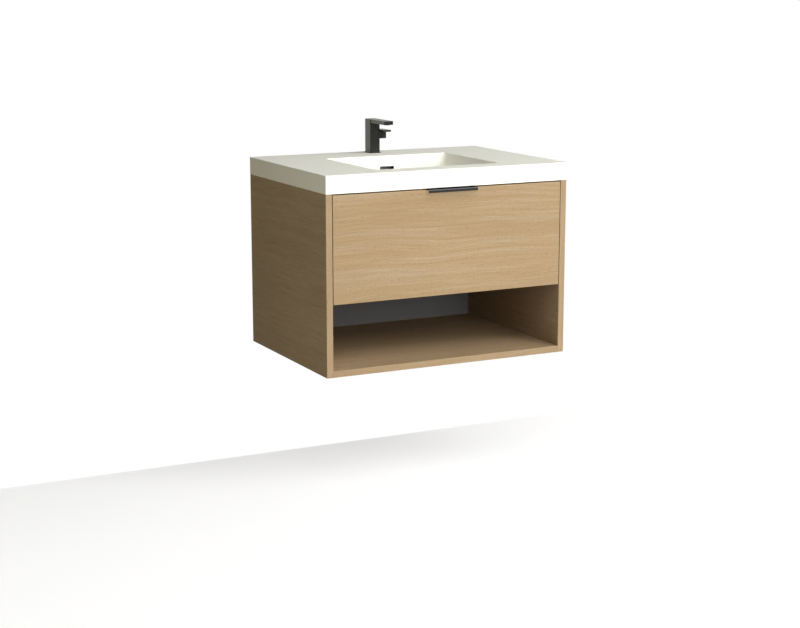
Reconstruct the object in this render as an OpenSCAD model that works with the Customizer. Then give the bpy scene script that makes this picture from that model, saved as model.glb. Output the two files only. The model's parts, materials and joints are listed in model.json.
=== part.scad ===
// Wall-hung bathroom vanity: oak carcass with an open bay, one wide drawer,
// a cast top with its own basin, and a square black mixer tap.
// +X is right seen from the front, -Y points into the room, Y = 0 is the wall,
// and Z = 0 is the underside of the carcass. Millimetres.

/* [Carcass] */
// Width over the two side panels
cab_w = 760; // [680:10:900]
// Depth from the wall to the front edges of the side panels
cab_d = 543.5; // [510:0.5:580]
// Height of the side panels
cab_h = 506.5; // [480:0.5:560]
// Thickness of the oak veneered boards
board_t = 18.8; // [17:0.1:20]
// Clear height of the open bay
bay_h = 185.2; // [150:0.1:200]
// Thickness of the grey board behind the open bay
back_t = 4; // [3:0.5:6]
// Gap that the wall cleats leave behind the hanging rail
rail_recess = 12; // [12:0.5:16]
// Height of the hanging rail
hang_rail_h = 100; // [90:5:120]
// Height of the lower wall rail
low_rail_h = 60; // [50:5:80]
// Distance between the wall screws, one stud bay
stud_pitch = 406.4; // [300:0.1:450]
// Radius of the holes for the wall screws
wall_hole_r = 3.2; // [2.5:0.1:4]
// Leg of the glued corner blocks
block_leg = 40; // [25:1:50]

/* [Cast top and basin] */
// Height of the apron
top_t = 51; // [40:1:60]
// Overhang of the top past each side panel
over_side = 1; // [0:0.5:5]
// Overhang of the top past the side panels at the front
over_front = 3; // [0:0.5:8]
// Thickness of the deck
deck_t = 16; // [12:1:20]
// Thickness of the apron walls
apron_t = 20; // [15:1:25]
// Width of the basin at its rim
bowl_w = 396; // [340:2:460]
// Deck strip between the wall and the basin
strip_rear = 144.5; // [130:0.5:160]
// Deck strip in front of the basin
strip_front = 73; // [65:0.5:90]
// Depth of the basin floor at the waste
bowl_deep = 110; // [95:1:120]
// Fall of the basin floor from its edge to the waste
floor_fall = 14; // [8:1:20]
// Thickness of the basin wall
bowl_wall = 12; // [9:1:14]
// How far the end walls lean in by the floor
lean_end = 46; // [20:1:60]
// How far the rear wall leans in by the floor
lean_rear = 6; // [2:1:20]
// How far the front wall leans in by the floor
lean_front = 30; // [10:1:40]
// Radius of the rear corners at the rim
rim_rear_r = 4; // [2:1:15]
// Radius of the front corners at the rim
rim_front_r = 20; // [5:1:40]
// Radius of the corners at the floor
floor_r = 72; // [50:1:90]

/* [Overflow and waste] */
// Width of the overflow slot
slot_w = 46; // [36:1:60]
// Height of the overflow slot
slot_h = 10; // [8:0.5:12]
// Depth of the slot's centre below the deck
slot_drop = 37; // [32:1:44]
// Wall of the black sleeve in the slot
sleeve_t = 1.2; // [1:0.1:1.6]
// Height of the overflow duct's channel over its walls
duct_h = 20; // [16:1:24]
// Wall of the overflow duct
duct_wall = 2.5; // [2:0.1:3]
// Radius of the waste flange
flange_r = 32; // [30:0.5:36]
// Outer radius of the waste's threaded body
waste_r = 22.4; // [21:0.1:23]
// Outer radius of the tailpiece, one and a quarter inch pipe
tail_r = 15.875; // [14:0.005:17]
// Length of the threaded body below the basin floor
waste_len = 75; // [70:1:80]
// Length of the tailpiece below the threaded body
tail_len = 42; // [25:1:60]

/* [Mixer tap] */
// Width of the column
tap_w = 32; // [30:0.5:36]
// Depth of the column
tap_d = 35; // [32:0.5:40]
// Height of the tap above the deck
tap_h = 102.5; // [98:0.5:130]
// Distance from the wall to the column's centre
tap_setback = 47.5; // [44:0.5:60]
// Width of the spout
arm_w = 29.4; // [26:0.2:30]
// Thickness of the spout
spout_t = 11; // [10:0.5:14]
// Reach of the spout past the column's front
spout_reach = 93.5; // [90:0.5:130]
// Height of the lever block
lever_h = 22; // [20:0.5:24]
// Length of the lever block, out from the column's right side
lever_len = 24; // [20:0.5:40]
// Depth of the lever block from front to rear
lever_d = 24; // [20:0.5:30]
// Thickness of the lever plate
plate_t = 5.6; // [3:0.1:7]
// Reach of the lever plate past the column's front
plate_reach = 28; // [10:0.5:60]
// Height of the lever block's centre above the deck
lever_z = 53.8; // [40:0.1:56]
// Travel of the lever, outwards, in degrees
lever_tilt = 20; // [10:1:22]
// Radius of the aerator
aerator_r = 9; // [8:0.5:11]

/* [Drawer] */
// Gap between the drawer front and each side panel
reveal = 2; // [1.5:0.1:3]
// Gap between the drawer front and the cast top
head_gap = 3.5; // [3:0.1:5]
// How far the drawer front hangs below the divider's underside
front_drop = 1.1; // [0:0.1:5]
// Thickness of the drawer box walls
box_t = 12; // [10:0.5:13]
// Thickness of the drawer bottom
box_floor_t = 8; // [6:0.5:10]
// Space between the wall and the drawer box for the pipes
pipe_gap = 54.7; // [50:0.1:70]
// Half width of the cut-out round the waste
notch_half = 95; // [80:1:110]
// Length of the pull
pull_len = 154; // [120:1:220]
// How far the pull stands out from the drawer front
pull_out = 20; // [14:0.5:26]
// Depth of the pull's lip and of its top plate together
pull_lip = 9; // [7:0.5:12]
// Thickness of the pull's sheet
pull_t = 1.5; // [1.2:0.1:2]

/* [Drawer slides] */
// Thickness of one slide across its members
slide_w = 12.7; // [12.7:0.1:13]
// Height of the outer member
slide_h = 45.4; // [44:0.2:46]
// Thickness of the slide's steel
steel_t = 1.2; // [1:0.1:1.2]
// Radius of the bearing balls
ball_r = 1.75; // [1.7:0.01:1.8]
// Balls in each row of a cage
ball_count = 8; // [4:1:9]
// Length of a ball cage
cage_len = 200; // [160:5:210]

/* [Hidden] */
$fn = 48;

// finishes
oak = "burlywood";
birch = "wheat";
grey_board = "dimgray";
cast_white = "whitesmoke";
black_metal = "#2b2b2a";
steel = "silver";
brass = "goldenrod";
rubber = "#202020";
plastic = "lightgray";

// fits and small clearances
eps = 0.01;                             // overshoot of a pilot hole past its face
cut = 1;                                // overshoot of a through cut past each face
fit = 0.1;                              // clearance of a piece in its own hole
slip = 0.05;                            // radial clearance of a turning or sliding pin
seat_gap = 0.2;                         // between pieces that only lean on each other

// carcass
in_w = cab_w - 2 * board_t;             // clear width between the side panels
divider_z = board_t + bay_h;            // underside of the divider
divider_top = divider_z + board_t;
front_back_y = board_t - cab_d;         // rear face of the drawer front
bumper_t = 2.3;
bumper_r = 5;
bumper_in = 30;                         // from the side panel to a bumper's centre
divider_front_y = front_back_y + bumper_t + seat_gap;
hang_z = cab_h - hang_rail_h;
hang_y = -rail_recess - board_t;        // front face of the hanging rail
deck_z = cab_h + top_t;

// basin, in plan and in height
top_w = cab_w + 2 * over_side;
top_d = cab_d + over_front;
bowl_y0 = -strip_rear;                  // rear edge of the rim
bowl_y1 = strip_front - top_d;          // front edge of the rim
drain_y = (bowl_y0 + bowl_y1) / 2;
floor_z = deck_z - bowl_deep;           // floor at the waste
edge_z = floor_z + floor_fall;          // floor at its edge
under_z = floor_z - bowl_wall;          // underside of the basin
drain_margin = 3;                       // flat ring of the floor round the flange
drain_flat_r = flange_r + drain_margin;
flange_t = 3;
slot_z = deck_z - slot_drop;
slice_t = 1;                            // thickness of the slices that the basin is drawn through

// front rail between the drawer front and the basin
rail_behind = 6.7;                      // room for the pull's flange and its screws
rail_off_bowl = 3;
front_rail_y0 = front_back_y + rail_behind;
front_rail_y1 = bowl_y1 - bowl_wall - rail_off_bowl;

// board joints: a cam bolt and a dowel side by side
joint_rear = 75;                        // from the wall to the rear cams
joint_front_in = 80;                    // from the front edges to the front cams
joint_front = cab_d - joint_front_in;
joint_step = 32;           // from a cam bolt to its dowel
cam_in = 34;               // from a board's end to its cam
cam_r = 7.5;
cam_h = 12.5;
bolt_r = 3.5;
bolt_thread_r = 2.4;
bolt_thread_len = 11;
dowel_r = 4;
dowel_in_side = 12;
dowel_in_board = 18;
rail_cam_drop = 20;                     // cam below the middle of the hanging rail
low_cam_drop = 12;                      // cam below the middle of the lower rail
rail_cam_z = hang_z + hang_rail_h / 2 - rail_cam_drop;
low_cam_z = divider_top + low_rail_h / 2 - low_cam_drop;
cross_w = 2;                            // screwdriver cross in a cam
cross_deep = 2;
cross_half = 4.5;
front_rail_y = (front_rail_y0 + front_rail_y1) / 2;
flat_cams = [for (z = [board_t / 2, divider_z + board_t / 2]) for (y = [-joint_rear, -joint_front]) [y, z]];
rail_cam = [front_rail_y, cab_h - board_t / 2];
upright_cams = [[-rail_recess - board_t / 2, rail_cam_z], [-board_t / 2, low_cam_z]];
flat_dowels = [for (p = flat_cams) [p[0] + joint_step, p[1]]];
upright_dowels = [for (p = upright_cams) [p[0], p[1] + joint_step]];

// wall cleats
cleat_t = 2.5;
cleat_up = 33;                          // wall plate's top above the rail's underside
cleat_z = hang_z + cleat_up;
cleat_lip = 12;
cleat_plate = 25;                       // height of the plate on the wall
cab_plate = 29;                         // height of the plate on the cabinet
lip_drop = 10;                          // how deep the cabinet's lip hooks in
cleat_end = 41.2;                       // from a side panel to the cabinet cleat
cleat_shift = 20;                       // sideways play for setting the cabinet
cab_cleat_len = in_w - 2 * cleat_end;
wall_cleat_len = cab_cleat_len - 2 * cleat_shift;
cleat_space = (rail_recess - 4 * cleat_t) / 4;      // play between the hooked lips
cab_plate_y = -rail_recess;
wall_hole_z = cleat_z - cleat_plate / 2;
low_hole_z = divider_top + low_rail_h / 2;
cab_screw_z = cleat_z + cleat_lip + cleat_t + cab_plate / 2;
cab_screw_end = 40;                     // from the cleat's end to its outer screws
cab_screw_mid = 95;
cab_screw_out = cab_cleat_len / 2 - cab_screw_end;
cab_screw_xs = [-cab_screw_out, -cab_screw_mid, cab_screw_mid, cab_screw_out];

// wood screws
bevel = 1;                              // broken edge of a turned piece
screw_r = 2;
head_r = 3.8;
head_t = 1;
screw_len = 14;
screw_grip = 13;                        // of the long screws in the drawer front
box_screw_in = 9;                       // of the slide's screws in the drawer side

// overflow duct
duct_rim = 5;                           // duct past the slot on each side
duct_y0 = bowl_wall - strip_rear + seat_gap;        // face against the basin's rear wall
duct_top = slot_z + slot_h / 2 + duct_rim;
duct_half = slot_w / 2 + duct_rim;
duct_end_y = drain_y - flange_r;
duct_under = under_z - duct_h;

// waste
waste_wall = 2.9;
waste_play = 0.6;                       // of the waste body in the basin's hole
waste_bore_r = waste_r - waste_wall;
waste_hole_r = waste_r + waste_play;
window_half = 6;                        // half width of the overflow window in the waste body
waste_end_z = floor_z - waste_len;
tail_grip = 12;                          // length of the tailpiece screwed into the body
tail_core_r = tail_r - 0.5;              // of its screwed end
tail_neck = 1.5;                         // screwed length left between the pipe and the body
tail_end_z = waste_end_z - tail_len;
waste_gasket_t = 4;
waste_washer_t = 1.5;
waste_nut_t = 12;
waste_ring_r = flange_r + 2;
pipe_t = 1.2;                            // wall of the tailpiece
hub_r = 8;
hub_h = 8;
spoke_w = 3;
spoke_in = 0.5;                          // how far the spokes run into the wall
plug_stem_r = 5;
plug_r = flange_r - 4;
plug_t = 4;
plug_edge = 1.5;                         // height of the plug's bevelled edge
plug_fall = 4;                           // width of the plug's sloping rim
hub_z = under_z - duct_h - 2 * hub_h;
plug_end_z = hub_z - plug_t;

// tap
tap_y = -tap_setback;
tap_front = tap_y - tap_d / 2;           // column's front face
tap_hole_r = 17.5;
tap_gasket_t = 0.8;
tap_base_t = 2;
tap_base_over = 2;
column_z = deck_z + tap_gasket_t + tap_base_t;
tap_top = deck_z + tap_h;
spout_y = tap_front - spout_reach;
aerator_in = 3.5;                        // from the spout's tip to the aerator's edge
aerator_y = spout_y + aerator_r + aerator_in;
aerator_h = 6;
aerator_out = 1.2;
aerator_core_r = 3;
grille_pitch = 2;                        // rings of the aerator's grille
grille_deep = 2;
way_r = 3;                               // water way along the spout
rise_r = 2.5;                            // water way up the column
spindle_z = deck_z + lever_z;
tap_side = tap_w / 2;                    // column's right face, where the cartridge goes in
pivot_in = 7;                            // tilt axis behind the column's right face
pivot_x = tap_side - pivot_in;
cart_r = 12.4;
cart_len = 20;
cart_nut_t = 4;
spindle_r = 8.5;
spindle_len = 14;
spindle_back = 0.2;                      // between the spindle and the cartridge's floor
spindle_front = 1.2;                     // spindle's face behind the nut's face
stem_w = 7;
stem_in_lever = 12;
stem_swing = 7;                          // depth of the spindle's slot to the rear of the stem's axis
lever_gap = 0.8;                         // between the lever block and the column
lever_x = tap_side + lever_gap;
lever_front = tap_y - lever_d / 2;
lever_clear = 0.3;
lever_relief = lever_d / 2 * tan(lever_tilt) + lever_clear;
grub_r = 2;                              // screw that holds the lever on its stem
grub_key_r = 1.1;
grub_in = 0.5;
hose_x = 7.5;
hose_y = tap_y - 5;
hose_play = 1;                           // round a hose in the pads under the tap
shoe_play = 1.5;                         // round the hoses in the horseshoe washers
hose_r = 4.5;                            // tapped socket for a supply hose
hose_deep = 12;
stud_r = 4;
stud_y = tap_y + 9;
stud_in = 14;
stud_out = 45;
washer_r = 25;
rubber_washer_t = 3;
steel_washer_t = 2;
tap_nut_r = 7.5;
tap_nut_t = 12;

// drawer
front_half = in_w / 2 - reveal;
front_z0 = divider_z - front_drop;
front_z1 = cab_h - head_gap;
box_half = in_w / 2 - slide_w;
box_lift = 4.2;                          // drawer bottom above the divider
box_z0 = divider_top + box_lift;
wall_z0 = box_z0 + box_floor_t;
box_head = 20;                           // top of the drawer box below the overflow duct
box_z1 = duct_under - box_head;
box_rear_y = -pipe_gap;
box_len = box_rear_y - front_back_y;
notch_ahead = 61;                        // notch's front wall ahead of the waste
notch_y = drain_y - notch_ahead;
pull_flange = 24;                        // height of the pull's rear flange
pull_flange_z = front_z1 - pull_flange;
pull_screw_z = pull_flange_z + 8;
pull_screw_end = 17;                     // from the pull's end to its outer screws
pull_screw_x = pull_len / 2 - pull_screw_end;
pull_screw_xs = [-pull_screw_x, 0, pull_screw_x];
front_screw_end = 86.5;                  // from a drawer side to the outer screws
front_screw_mid = 90;
front_screw_out = box_half - box_t - front_screw_end;
front_screw_xs = [-front_screw_out, -front_screw_mid, front_screw_mid, front_screw_out];
front_screw_in = 30;                     // from the box front's edges to its screws
front_screw_zs = [wall_z0 + front_screw_in, box_z1 - front_screw_in];

// slides, measured inwards from the side panel
slide_up = 55;                           // middle of the slides above the drawer bottom
slide_z = wall_z0 + slide_up;
slide_short = 20;                        // slides are shorter than the drawer box
slide_len = box_len - slide_short;
slide_in = 3.7;                          // front end behind the drawer front
slide_y1 = front_back_y + slide_in;
slide_y0 = slide_y1 + slide_len;
ball_play = 0.3;
race = 2 * ball_r + ball_play;           // gap that a row of balls fills
outer_half = slide_h / 2;
mid_half = outer_half - steel_t - race;
inner_half = mid_half - steel_t - race;
mid_x0 = 2 * steel_t;
lip_gap = 1.4;                           // inner lips in front of the middle member's web
inner_x0 = mid_x0 + steel_t + lip_gap;
outer_lip = slide_w - 2.7;               // reach of each member's lips and of the cages
mid_lip = slide_w - 3.2;
outer_cage_lip = slide_w - 3.7;
inner_cage_lip = slide_w - 3;
mid_in = 2;                              // ends of the nested members behind the outer's
mid_short = 10;
inner_in = 1;
inner_short = 4;
cage_y1 = slide_y1 + slide_len / 2 - cage_len / 2;
cage_t = 0.8;
slide_screw_in = 35;
slide_screw_ys = [slide_y1 + slide_screw_in, slide_y1 + slide_len / 2, slide_y0 - slide_screw_in];

// ---------- shared shapes ----------

// a cube given by its low and high corners
module block(low, high) {
    translate(low) cube(high - low);
}

// a shape in the Y-Z plane drawn out along X, centred on x = 0
module along_x(length) {
    translate([-length / 2, 0, 0]) rotate([90, 0, 90]) linear_extrude(length) children();
}

// a cylinder along X that starts at x = 0
module rod_x(r, length) {
    rotate([0, 90, 0]) cylinder(r = r, h = length);
}

// a cylinder along -Y that starts at y = 0
module rod_front(r, length) {
    rotate([90, 0, 0]) cylinder(r = r, h = length);
}

// both the left and the right copy of a right-hand shape
module both_sides() {
    children();
    mirror([1, 0, 0]) children();
}

// a wood screw along +X with its flat head at x = 0
module wood_screw(length = screw_len) {
    rod_x(screw_r, length);
    translate([-head_t, 0, 0]) rod_x(head_r, head_t);
}

// ---------- carcass ----------

// holes in the right-hand side panel for cam bolts and dowels
module side_drilling() {
    for (p = concat(flat_cams, [rail_cam], upright_cams))
        translate([in_w / 2 - eps, p[0], p[1]]) rod_x(bolt_thread_r + fit, bolt_thread_len + fit);
    for (p = concat(flat_dowels, upright_dowels))
        translate([in_w / 2 - eps, p[0], p[1]]) rod_x(dowel_r + fit, dowel_in_side + fit);
}

// screw pilots in the right-hand side panel for the slide
module side_pilots() {
    for (y = slide_screw_ys)
        translate([in_w / 2 - eps, y, slide_z]) rod_x(screw_r + fit, screw_len);
}

module side_panel() {
    color(oak) difference() {
        block([in_w / 2, -cab_d, 0], [cab_w / 2, 0, cab_h]);
        side_drilling();
        side_pilots();
    }
}

// bolt way and cam seat at the right-hand end of a flat board, cam from below
module flat_cam_cut(p) {
    translate([in_w / 2 - cam_in, p[0], p[1]]) {
        rod_x(bolt_r + fit, cam_in + cut);
        translate([0, 0, -board_t / 2 - cut]) cylinder(r = cam_r + fit, h = cam_h + cut + fit);
    }
}

// the same at the end of an upright rail, cam from the front
module upright_cam_cut(p) {
    translate([in_w / 2 - cam_in, p[0], p[1]]) {
        rod_x(bolt_r + fit, cam_in + cut);
        translate([0, cam_h + fit - board_t / 2, 0]) rod_front(cam_r + fit, cam_h + cut + fit);
    }
}

module dowel_cut(p) {
    translate([in_w / 2 - dowel_in_board - fit, p[0], p[1]])
        rod_x(dowel_r + fit, dowel_in_board + cut);
}

module bottom_panel() {
    color(oak) difference() {
        block([-in_w / 2, -cab_d, 0], [in_w / 2, 0, board_t]);
        both_sides() for (y = [-joint_rear, -joint_front]) {
            flat_cam_cut([y, board_t / 2]);
            dowel_cut([y + joint_step, board_t / 2]);
        }
    }
}

module divider_panel() {
    color(oak) difference() {
        block([-in_w / 2, divider_front_y, divider_z], [in_w / 2, 0, divider_top]);
        both_sides() for (y = [-joint_rear, -joint_front]) {
            flat_cam_cut([y, divider_z + board_t / 2]);
            dowel_cut([y + joint_step, divider_z + board_t / 2]);
        }
    }
}

module back_panel() {
    color(grey_board) block([-in_w / 2, -back_t, board_t], [in_w / 2, 0, divider_z]);
}

module hanging_rail() {
    color(birch) difference() {
        block([-in_w / 2, hang_y, hang_z], [in_w / 2, -rail_recess, cab_h]);
        both_sides() {
            upright_cam_cut(upright_cams[0]);
            dowel_cut(upright_dowels[0]);
        }
        for (x = cab_screw_xs)
            translate([x, -rail_recess + eps, cab_screw_z]) rod_front(screw_r + fit, screw_len);
    }
}

module lower_rail() {
    color(birch) difference() {
        block([-in_w / 2, -board_t, divider_top], [in_w / 2, 0, divider_top + low_rail_h]);
        both_sides() {
            upright_cam_cut(upright_cams[1]);
            dowel_cut(upright_dowels[1]);
        }
        for (x = [-stud_pitch / 2, stud_pitch / 2])
            translate([x, cut, low_hole_z]) rod_front(wall_hole_r, board_t + 2 * cut);
    }
}

module front_rail() {
    color(birch) difference() {
        block([-in_w / 2, front_rail_y0, cab_h - board_t], [in_w / 2, front_rail_y1, cab_h]);
        both_sides() flat_cam_cut(rail_cam);
    }
}

module dowels() {
    color(birch) both_sides() for (p = concat(flat_dowels, upright_dowels))
        translate([in_w / 2 - dowel_in_board, p[0], p[1]]) rod_x(dowel_r, dowel_in_board + dowel_in_side);
}

module cam_bolts() {
    color(steel) both_sides() for (p = concat(flat_cams, [rail_cam], upright_cams))
        translate([in_w / 2 - cam_in, p[0], p[1]]) {
            rod_x(bolt_r, cam_in);
            rod_x(bolt_thread_r, cam_in + bolt_thread_len);
        }
}

// a cam: a disc with a screwdriver cross and a way in for the bolt
module cam(height) {
    difference() {
        cylinder(r = cam_r, h = height);
        translate([-eps, 0, board_t / 2]) rod_x(bolt_r + fit, cam_r + cut);
        for (a = [45, 135]) rotate([0, 0, a])
            block([-cross_half, -cross_w / 2, -cut], [cross_half, cross_w / 2, cross_deep]);
    }
}

module cam_locks() {
    color(steel) both_sides() {
        for (p = concat(flat_cams, [rail_cam]))
            translate([in_w / 2 - cam_in, p[0], p[1] - board_t / 2]) cam(cam_h);
        for (p = upright_cams)
            translate([in_w / 2 - cam_in, p[0] - board_t / 2, p[1]]) rotate([-90, 0, 0]) cam(cam_h);
    }
}

module corner_block(y, turn) {
    translate([in_w / 2, y, cab_h - board_t])
        linear_extrude(board_t) polygon([[0, 0], [-block_leg, 0], [0, turn * block_leg]]);
}

module corner_blocks() {
    color(birch) both_sides() {
        corner_block(hang_y, -1);
        corner_block(front_rail_y1, 1);
    }
}

// soft pads on the divider's front edge that the drawer front closes on
module bumpers() {
    color(plastic) both_sides()
        translate([in_w / 2 - bumper_in, divider_front_y, divider_z + board_t / 2])
            rod_front(bumper_r, bumper_t);
}

// hooked section of the cleat on the wall
module wall_cleat() {
    hook_y = -3 * cleat_t - 2 * cleat_space;
    color(steel) difference() {
        along_x(wall_cleat_len) polygon([
            [0, cleat_z - cleat_plate], [0, cleat_z], [hook_y + cleat_t, cleat_z],
            [hook_y + cleat_t, cleat_z + cleat_lip], [hook_y, cleat_z + cleat_lip],
            [hook_y, cleat_z - cleat_t], [-cleat_t, cleat_z - cleat_t], [-cleat_t, cleat_z - cleat_plate]]);
        for (x = [-stud_pitch / 2, stud_pitch / 2])
            translate([x, cut, wall_hole_z]) rod_front(wall_hole_r, cleat_t + 2 * cut);
    }
}

// matching section on the cabinet, whose lip drops behind the first
module cabinet_cleat() {
    lip_y = -cleat_t - cleat_space;
    seat_z = cleat_z + cleat_lip;
    lip_z = seat_z - lip_drop;
    plate_z1 = seat_z + cleat_t + cab_plate;
    color(steel) difference() {
        along_x(cab_cleat_len) polygon([
            [cab_plate_y, seat_z], [lip_y - cleat_t, seat_z], [lip_y - cleat_t, lip_z],
            [lip_y, lip_z], [lip_y, seat_z + cleat_t], [cab_plate_y + cleat_t, seat_z + cleat_t],
            [cab_plate_y + cleat_t, plate_z1], [cab_plate_y, plate_z1]]);
        for (x = cab_screw_xs)
            translate([x, cab_plate_y + cleat_t + cut, cab_screw_z])
                rod_front(screw_r + fit, cleat_t + 2 * cut);
    }
}

module carcass_screws() {
    color(steel) {
        for (x = cab_screw_xs)
            translate([x, cab_plate_y + cleat_t, cab_screw_z]) rotate([0, 0, -90]) wood_screw();
        both_sides() for (y = slide_screw_ys)
            translate([in_w / 2 - steel_t + head_t, y, slide_z]) wood_screw();
    }
}

// ---------- cast top with its basin ----------

// slice with rounded corners at height z: half width, rear and front edge, corner radii
module bowl_ring(half, rear, front, rear_r, front_r, z) {
    translate([0, 0, z]) for (side = [-1, 1]) {
        translate([side * (half - rear_r), rear - rear_r, 0]) cylinder(r = rear_r, h = slice_t, $fn = 56);
        translate([side * (half - front_r), front + front_r, 0]) cylinder(r = front_r, h = slice_t, $fn = 56);
    }
}

// the hollow of the basin, grown by a wall thickness for its outside
module bowl_form(grow, top_z) {
    half = bowl_w / 2 + grow;
    hull() {
        bowl_ring(half, bowl_y0 + grow, bowl_y1 - grow, rim_rear_r + grow, rim_front_r + grow, top_z);
        bowl_ring(half - lean_end, bowl_y0 + grow - lean_rear, bowl_y1 - grow + lean_front,
                  floor_r + grow, floor_r + grow, edge_z - grow);
        translate([0, drain_y, floor_z - grow]) cylinder(r = drain_flat_r + grow, h = slice_t);
    }
}

module basin_top() {
    color(cast_white) difference() {
        union() {
            difference() {
                block([-top_w / 2, -top_d, cab_h], [top_w / 2, 0, deck_z]);
                block([apron_t - top_w / 2, apron_t - top_d, cab_h - cut],
                      [top_w / 2 - apron_t, -apron_t, deck_z - deck_t]);
            }
            bowl_form(bowl_wall, deck_z - 2 * slice_t);
        }
        bowl_form(0, deck_z);
        block([-slot_w / 2, bowl_y0 - bowl_wall, slot_z - slot_h / 2],
              [slot_w / 2, duct_y0, slot_z + slot_h / 2]);
        translate([0, drain_y, under_z - cut]) cylinder(r = waste_hole_r, h = bowl_wall + 2 * cut);
        translate([0, drain_y, floor_z - flange_t]) cylinder(r = flange_r + fit, h = flange_t + cut);
        translate([0, tap_y, deck_z - deck_t - cut]) cylinder(r = tap_hole_r, h = deck_t + 2 * cut);
    }
}

module overflow_sleeve() {
    front = bowl_y0 - lean_rear * slot_drop / (deck_z - edge_z);
    half_w = slot_w / 2 - fit;
    half_h = slot_h / 2 - fit;
    color(black_metal) difference() {
        block([-half_w, front, slot_z - half_h], [half_w, duct_y0 + duct_wall, slot_z + half_h]);
        block([sleeve_t - half_w, front - cut, slot_z - half_h + sleeve_t],
              [half_w - sleeve_t, duct_y0 + duct_wall + cut, slot_z + half_h - sleeve_t]);
    }
}

module overflow_duct() {
    rear = duct_y0 + duct_h;
    color(plastic) difference() {
        along_x(2 * duct_half) polygon([
            [duct_y0, duct_top], [duct_y0, under_z], [duct_end_y, under_z],
            [duct_end_y, duct_under], [rear, duct_under], [rear, duct_top]]);
        along_x(2 * (duct_half - duct_wall)) polygon([
            [duct_y0 + duct_wall, duct_top - duct_wall], [duct_y0 + duct_wall, under_z - duct_wall],
            [duct_end_y + duct_wall, under_z - duct_wall], [duct_end_y + duct_wall, duct_under + duct_wall],
            [rear - duct_wall, duct_under + duct_wall], [rear - duct_wall, duct_top - duct_wall]]);
        block([-slot_w / 2, duct_y0 - cut, slot_z - slot_h / 2],
              [slot_w / 2, duct_y0 + duct_wall + cut, slot_z + slot_h / 2]);
        translate([0, drain_y, duct_under - cut]) cylinder(r = waste_r + fit, h = duct_h + 2 * cut);
    }
}

// ---------- waste ----------

module waste_body() {
    color(black_metal) translate([0, drain_y, 0]) {
        difference() {
            rotate_extrude() polygon([
                [waste_bore_r, waste_end_z + tail_grip], [tail_core_r + fit, waste_end_z + tail_grip],
                [tail_core_r + fit, waste_end_z], [waste_r, waste_end_z], [waste_r, floor_z - flange_t],
                [flange_r, floor_z - flange_t], [flange_r, floor_z - bevel], [flange_r - bevel, floor_z],
                [plug_r - bevel, floor_z], [waste_bore_r, floor_z - flange_t]]);
            block([-waste_r - cut, -window_half, duct_under + duct_wall],
                  [waste_r + cut, window_half, under_z - duct_wall]);
        }
        difference() {
            union() {
                translate([0, 0, hub_z]) cylinder(r = hub_r, h = hub_h);
                for (a = [0, 120, 240]) rotate([0, 0, a])
                    block([0, -spoke_w / 2, hub_z], [waste_bore_r + spoke_in, spoke_w / 2, hub_z + hub_h]);
            }
            translate([0, 0, hub_z - cut]) cylinder(r = plug_stem_r + slip, h = hub_h + 2 * cut);
        }
    }
}

// a ring round the waste body
module waste_ring(z, height, outer) {
    translate([0, drain_y, z]) difference() {
        cylinder(r = outer, h = height);
        translate([0, 0, -cut]) cylinder(r = waste_r + fit, h = height + 2 * cut);
    }
}

module waste_gasket() {
    color(rubber) waste_ring(duct_under - waste_gasket_t, waste_gasket_t, waste_ring_r);
}

module waste_washer() {
    color(steel) waste_ring(duct_under - waste_gasket_t - waste_washer_t, waste_washer_t, waste_ring_r);
}

module waste_nut() {
    z = duct_under - waste_gasket_t - waste_washer_t - waste_nut_t;
    color(brass) translate([0, drain_y, z]) difference() {
        cylinder(r = waste_ring_r, h = waste_nut_t, $fn = 8);
        translate([0, 0, -cut]) cylinder(r = waste_r + fit, h = waste_nut_t + 2 * cut);
    }
}

module tailpiece() {
    color(steel) translate([0, drain_y, 0]) rotate_extrude() polygon([
        [tail_r - pipe_t, tail_end_z], [tail_r, tail_end_z], [tail_r, waste_end_z - tail_neck],
        [tail_core_r, waste_end_z - tail_neck], [tail_core_r, waste_end_z + tail_grip],
        [tail_r - pipe_t, waste_end_z + tail_grip]]);
}

module waste_plug() {
    color(black_metal) translate([0, drain_y, 0]) rotate_extrude() polygon([
        [0, plug_end_z], [plug_stem_r, plug_end_z], [plug_stem_r, floor_z], [plug_r, floor_z],
        [plug_r, floor_z + plug_t - plug_edge], [plug_r - bevel, floor_z + plug_t - bevel / 2],
        [plug_r - plug_fall, floor_z + plug_t], [0, floor_z + plug_t]]);
}

// ---------- mixer tap ----------

// a flat square pad round the tap's foot with ways for the hoses and the stud
module tap_pad(over, z, height) {
    difference() {
        block([-tap_w / 2 - over, tap_front - over, z],
              [tap_w / 2 + over, tap_y + tap_d / 2 + over, z + height]);
        for (side = [-1, 1])
            translate([side * hose_x, hose_y, z - cut])
                cylinder(r = hose_r + hose_play, h = height + 2 * cut);
        translate([0, stud_y, z - cut]) cylinder(r = stud_r + fit, h = height + 2 * cut);
    }
}

module tap_gasket() {
    color(rubber) tap_pad(tap_base_over / 2, deck_z, tap_gasket_t);
}

module tap_base_plate() {
    color(black_metal) tap_pad(tap_base_over, deck_z + tap_gasket_t, tap_base_t);
}

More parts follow.
